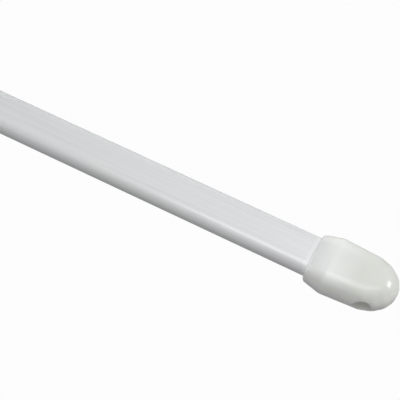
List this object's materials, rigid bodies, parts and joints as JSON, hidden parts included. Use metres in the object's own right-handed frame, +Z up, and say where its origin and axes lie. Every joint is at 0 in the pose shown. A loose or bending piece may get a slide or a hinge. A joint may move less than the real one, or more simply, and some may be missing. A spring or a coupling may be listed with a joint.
{
  "type": "extendable sash rod",
  "caption": "Flat-oval extendable sash rod: a painted steel tube slides in a larger one, each ending in a rounded moulded cap with a cross hole for a window hook.",
  "frame": {"origin": "on the surface that the rod lies on, below the middle of its overall length as modelled", "axes": "+X along the rod towards the outer tube's cap, +Y across its width and along the hook holes, +Z up through its thickness"},
  "size_m": [0.3398, 0.0156, 0.0088],
  "materials": {
    "white_lacquer": "semi-gloss white stoving lacquer on steel strip",
    "cap_plastic": "moulded natural-white polypropylene, satin"
  },
  "bodies": {
    "outer": {"outer_tube": "white_lacquer", "outer_end_cap": "cap_plastic"},
    "inner": {"inner_tube": "white_lacquer", "inner_end_cap": "cap_plastic"}
  },
  "joints": [
    {"name": "draw_out", "type": "slide", "parent": "outer", "child": "inner", "axis": [-1, 0, 0], "range_m": [-0.04, 0.16]}
  ]
}
